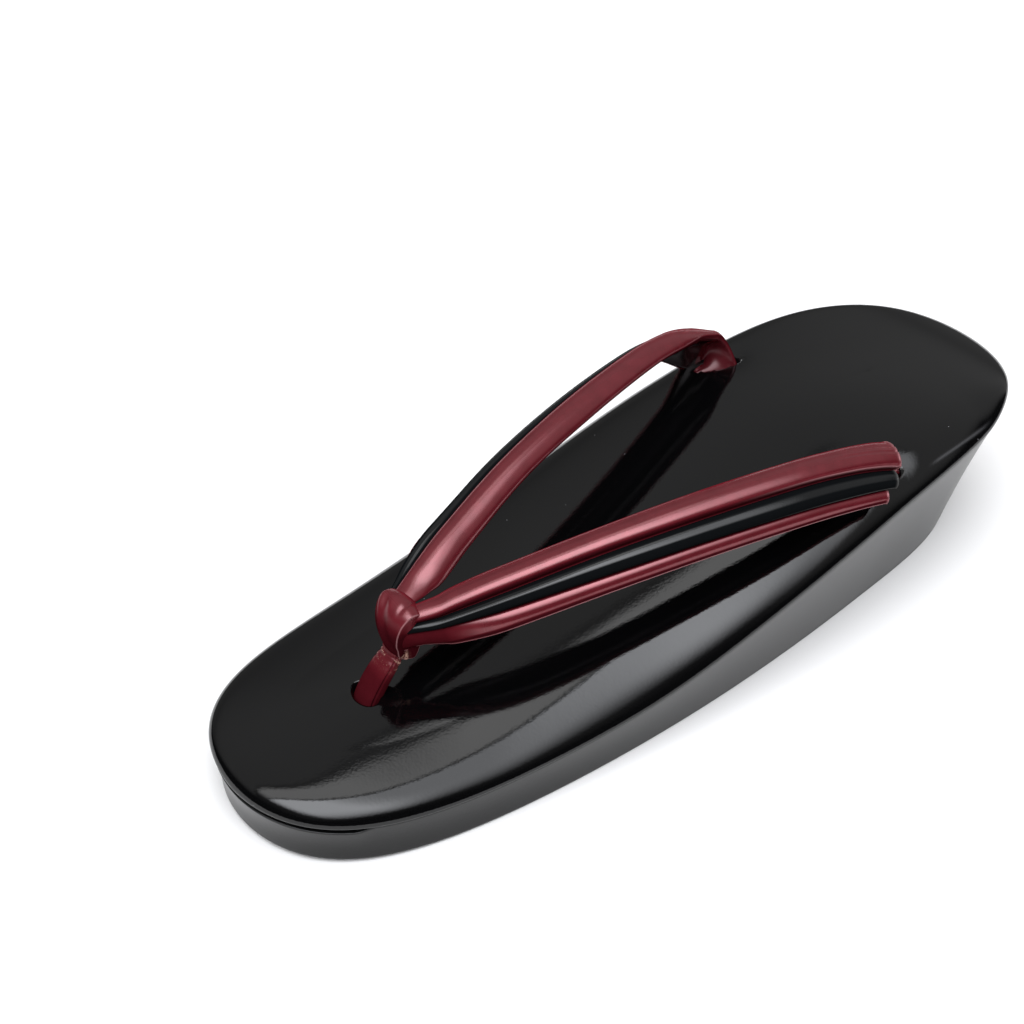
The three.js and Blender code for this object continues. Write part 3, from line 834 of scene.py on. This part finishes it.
def enamel_material(colours):
    """Black patent leather: near black under a mirror gloss, orange-peel grain, a few specks of dust and a
    faint pale line along one shoulder near the heel."""
    material, tree, shader = start_material("black_enamel")
    shader.inputs["Roughness"].default_value = 0.02
    shader.inputs["IOR"].default_value = 1.5
    grain_into(tree, shader, 1500.0, 140.0, 1.0, 0.45)
    place = add_node(tree, "ShaderNodeTexCoord").outputs["Object"]
    cells = add_node(tree, "ShaderNodeTexVoronoi", {"Vector": place, "Scale": 380.0})
    tint = add_node(tree, "ShaderNodeSeparateColor", {"Color": cells.outputs["Color"]})
    small = math_node(tree, "LESS_THAN", cells.outputs["Distance"], 0.055)
    rare = math_node(tree, "GREATER_THAN", tint.outputs["Red"], 0.965)
    speck = math_node(tree, "MULTIPLY", small, rare)
    # A faint pale line along one shoulder near the heel
    wear_and_highlight_share = math_node(tree, "MULTIPLY", share_of(tree, "wear_and_highlight"), 0.22)
    pale = math_node(tree, "MAXIMUM", speck, wear_and_highlight_share)
    tree.links.new(mix_colours(tree, pale, colours.enamel, colours.dust), shader.inputs["Base Color"])
    return material


def wall_material(colours):
    """The sole's enamel: the same black, a little satin, over a coarser grain."""
    material, tree, shader = start_material("wall_enamel")
    shader.inputs["Base Color"].default_value = (*colours.wall, 1)
    shader.inputs["Roughness"].default_value = 0.28
    shader.inputs["Specular IOR Level"].default_value = 0.33
    grain_into(tree, shader, 1100.0, 120.0, 0.8, 0.6)
    return material


def wine_material(colours):
    """Pearly wine leather: a satin sheen with a little metal in it under a thin coat, cloudy in tone,
    rougher, duller and darker where shade is painted, painted dark as shade on the inner side, with a pale
    painted highlight along its folds and pressed edges, and bare where it is cracked."""
    found = bpy.data.materials.get("wine_pearl")
    if found:
        return found
    material, tree, shader = start_material("wine_pearl")
    shader.inputs["Coat Roughness"].default_value = 0.07
    painted_shade = dull_rim(tree, shader, {"Metallic": 0.45, "Specular IOR Level": 0.9, "Coat Weight": 0.3})
    # Rougher where shade is painted, which dims and spreads the gloss there
    rough = math_node(tree, "ADD", math_node(tree, "MULTIPLY", painted_shade, 0.25), 0.19)
    tree.links.new(rough, shader.inputs["Roughness"])
    grain = grain_into(tree, shader, 2600.0, 300.0, 0.8, 0.5)
    colour = mix_colours(tree, grain.outputs["Cloud"], colours.wine_deep, colours.wine)
    # Painted shade: the colour goes towards the dark lining colour as the square of the painted share
    shade_share = math_node(tree, "MULTIPLY", math_node(tree, "MULTIPLY", painted_shade, painted_shade), 0.8)
    colour = mix_colours(tree, shade_share, colour, colours.lining)
    # Painted shade: the inner side of the strap is laid in the dark lining colour
    colour = mix_colours(tree, share_of(tree, "inner"), colour, colours.lining)
    # Painted highlight: a pale line along the pressed edges, the rear folds and the saddle's cut edges
    wear_and_highlight_share = math_node(tree, "MULTIPLY", share_of(tree, "wear_and_highlight"), 0.55)
    colour = mix_colours(tree, wear_and_highlight_share, colour, colours.wear_and_highlight)
    broken = ease_node(tree, grain.outputs["Height"], 0.88, 1.0)
    split = math_node(tree, "MULTIPLY", share_of(tree, "crack"), broken)
    colour = mix_colours(tree, split, colour, colours.crack)
    tree.links.new(colour, shader.inputs["Base Color"])
    return material


def black_material(colours):
    """Black leather of the middle rolls: soft gloss over a fine grain, duller where shade is painted, with a
    pale grey painted highlight along its pressed edge and fold.
    """
    material, tree, shader = start_material("black_leather")
    shader.inputs["Roughness"].default_value = 0.08
    dull_rim(tree, shader, {"Specular IOR Level": 0.45})
    grain_into(tree, shader, 2400.0, 260.0, 0.8, 0.35)
    # Painted highlight along the pressed edge and the fold
    wear_and_highlight_share = math_node(tree, "MULTIPLY", share_of(tree, "wear_and_highlight"), 0.20)
    tree.links.new(mix_colours(tree, wear_and_highlight_share, colours.black, colours.black_edge_highlight), shader.inputs["Base Color"])
    return material


class ZORI_OT_sole(Operator):
    """Make the enamel wedge sole"""

    bl_idname = "zori.sole"
    bl_label = "Wedge sole"

    def execute(self, context):
        points, faces = sole_surface(context.scene.zori_sizes)
        piece = add_piece("wedge_sole", points, faces, wall_material(context.scene.zori_colours))
        settle(piece, "enamel", "sole")
        return {"FINISHED"}


class ZORI_OT_pad(Operator):
    """Make the padded top with its rolled edge and holes"""

    bl_idname = "zori.pad"
    bl_label = "Padded top"

    def execute(self, context):
        points, faces, values = pad_surface(context.scene.zori_sizes)
        piece = add_piece("padded_top", points, faces, enamel_material(context.scene.zori_colours), values)
        settle(piece, "enamel", "top_pad")
        return {"FINISHED"}


class ZORI_OT_strap(Operator):
    """Make the wine band of both arms of the strap"""

    bl_idname = "zori.strap"
    bl_label = "Wine strap"

    def execute(self, context):
        material = wine_material(context.scene.zori_colours)
        for side, word in ((1, "right"), (-1, "left")):
            points, faces, values = arm_surface(side, band_profile(context.scene.zori_strap))
            piece = add_piece(f"strap_{word}", points, faces, material, values)
            settle(piece, "wine", "strap")
        return {"FINISHED"}


class ZORI_OT_black_rolls(Operator):
    """Make the black middle roll of each arm"""

    bl_idname = "zori.black_rolls"
    bl_label = "Black rolls"

    def execute(self, context):
        material = black_material(context.scene.zori_colours)
        for side, word in ((1, "right"), (-1, "left")):
            points, faces, values = arm_surface(side, black_profile(context.scene.zori_strap))
            piece = add_piece(f"middle_roll_{word}", points, faces, material, values)
            settle(piece, "black", f"black_roll_{word}")
        return {"FINISHED"}


class ZORI_OT_toe_post(Operator):
    """Make the toe post and the saddle over the strap's neck"""

    bl_idname = "zori.toe_post"
    bl_label = "Toe post"

    def execute(self, context):
        material = wine_material(context.scene.zori_colours)
        for name, surface in (("thong_post", post_surface), ("neck_saddle", saddle_surface)):
            points, faces, values = surface()
            piece = add_piece(name, points, faces, material, values)
            settle(piece, "wine", "toe_post")
        return {"FINISHED"}


class ZORI_OT_stage(Operator):
    """Set the floor, the studio light and the camera"""

    bl_idname = "zori.stage"
    bl_label = "Stage"

    def execute(self, context):
        scene = context.scene
        light = scene.zori_light
        make_floor(scene)
        make_room(scene, light)
        make_camera(scene)
        scene.view_settings.view_transform = "Standard"
        return {"FINISHED"}


def make_floor(scene):
    """Plain pale floor under the shoe."""
    half = 4.0
    mesh = bpy.data.meshes.new("floor")
    corners = [(-half, -half, 0), (half, -half, 0), (half, half, 0), (-half, half, 0)]
    mesh.from_pydata(corners, [], [(0, 1, 2, 3)])
    material, _, shader = start_material("pale_floor")
    shader.inputs["Base Color"].default_value = (*scene.zori_colours.floor, 1)
    shader.inputs["Roughness"].default_value = 0.9
    shader.inputs["Specular IOR Level"].default_value = 0.0
    mesh.materials.append(material)
    floor = bpy.data.objects.new("floor", mesh)
    scene.collection.objects.link(floor)


def panel_light(tree, side, length, panel):
    """Share of a panel's light from a way: 1 between its two soft sides and its two soft ends."""
    across, along = (
        math_node(tree, "MULTIPLY", ease_node(tree, value, *edges[0]), ease_node(tree, value, *edges[1]))
        for value, edges in ((side, panel["sides"]), (length, panel["ends"])))
    return math_node(tree, "MULTIPLY", across, along)


def make_room(scene, light):
    """World seen as a ceiling: a way's sideways and lengthwise parts over its upward part. From the far
    side come the pale room, a darker gap, the far panel, a thin seam and the bluish near panel, which fades
    out. Past the floor the camera itself sees a plain white backdrop."""
    world = bpy.data.worlds.new("studio")
    scene.world = world
    world.use_nodes = True
    tree = world.node_tree
    way = add_node(tree, "ShaderNodeTexCoord").outputs["Generated"]
    parts = add_node(tree, "ShaderNodeSeparateXYZ", {"Vector": way})
    upward = math_node(tree, "MAXIMUM", parts.outputs["Z"], 0.02)
    side = math_node(tree, "DIVIDE", parts.outputs["X"], upward)
    length = math_node(tree, "DIVIDE", parts.outputs["Y"], upward)

    room = math_node(
        tree, "MAXIMUM", ease_node(tree, side, *ROOM_SIDE), ease_node(tree, length, *ROOM_REAR))
    walls = mix_values(tree, ease_node(tree, side, *ROOM_CORNER), light.room, 0.45 * light.room)
    near, front = ease_node(tree, side, *DIM_NEAR), ease_node(tree, length, *DIM_FRONT)
    rear = math_node(
        tree, "MULTIPLY", ease_node(tree, length, *DIM_REAR[0]), ease_node(tree, side, *DIM_REAR[1]))
    low = math_node(tree, "MAXIMUM", math_node(tree, "MAXIMUM", near, front), rear)
    base = mix_values(tree, low, mix_values(tree, room, light.gap, walls), light.dim)

    far = math_node(tree, "MULTIPLY", panel_light(tree, side, length, FAR_PANEL), light.far_panel)
    glow = math_node(tree, "MULTIPLY", ease_node(tree, length, *NEAR_PANEL["glow"]), light.near_glow)
    glow = math_node(tree, "ADD", glow, light.near_panel)
    close = math_node(tree, "MULTIPLY", panel_light(tree, side, length, NEAR_PANEL), glow)
    blue = mix_colours(tree, 1.0, close, NEAR_PANEL["tint"], "MULTIPLY")
    whole = mix_colours(tree, 1.0, blue, math_node(tree, "ADD", base, far), "ADD")
    seen = add_node(tree, "ShaderNodeLightPath").outputs["Is Camera Ray"]
    tree.links.new(mix_colours(tree, seen, whole, BACKDROP), tree.nodes["Background"].inputs["Color"])


def make_camera(scene):
    """Camera at the photograph's place and angle."""
    azimuth, elevation, roll = (math.radians(v) for v in (CAMERA_AZIMUTH, CAMERA_ELEVATION, CAMERA_ROLL))
    flat = math.cos(elevation)
    back = np.array([math.sin(azimuth) * flat, -math.cos(azimuth) * flat, math.sin(elevation)])
    right = np.array([math.cos(azimuth), math.sin(azimuth), 0.0])
    up = np.cross(back, right)
    turned = Matrix(np.stack([right, up, back], 1).tolist()).to_4x4() @ Matrix.Rotation(roll, 4, "Z")
    lens = bpy.data.cameras.new("camera")
    lens.lens = CAMERA_LENS
    lens.sensor_width = 36.0
    lens.clip_start = 0.01
    camera = bpy.data.objects.new("camera", lens)
    camera.matrix_world = Matrix.Translation(CAMERA_EYE) @ turned
    scene.collection.objects.link(camera)
    scene.camera = camera


class ZORI_PT_panel(Panel):
    """Sizes, colours and steps of the zori"""

    bl_idname = "ZORI_PT_panel"
    bl_label = "Zori"
    bl_space_type = "VIEW_3D"
    bl_region_type = "UI"
    bl_category = "Zori"

    def draw(self, context):
        for name in GROUPS:
            group = getattr(context.scene, name)
            for key in group.bl_rna.properties.keys():
                if key not in ("rna_type", "name"):
                    self.layout.prop(group, key)
        for step in STEPS:
            self.layout.operator(step.bl_idname)


GROUPS = {
    "zori_sizes": ZoriSizes,
    "zori_strap": ZoriStrapSizes,
    "zori_colours": ZoriColours,
    "zori_light": ZoriLight,
}
STEPS = (
    ZORI_OT_stage, ZORI_OT_sole, ZORI_OT_pad, ZORI_OT_strap, ZORI_OT_black_rolls, ZORI_OT_toe_post)
CLASSES = (*GROUPS.values(), *STEPS, ZORI_PT_panel)


def register():
    for kind in CLASSES:
        bpy.utils.register_class(kind)
    for name, kind in GROUPS.items():
        setattr(bpy.types.Scene, name, PointerProperty(type=kind))


def unregister():
    for name in GROUPS:
        delattr(bpy.types.Scene, name)
    for kind in reversed(CLASSES):
        bpy.utils.unregister_class(kind)


def main():
    """Builds the shoe step by step."""
    register()
    for step in STEPS:
        area, name = step.bl_idname.split(".")
        getattr(getattr(bpy.ops, area), name)()


if __name__ == "__main__":
    main()
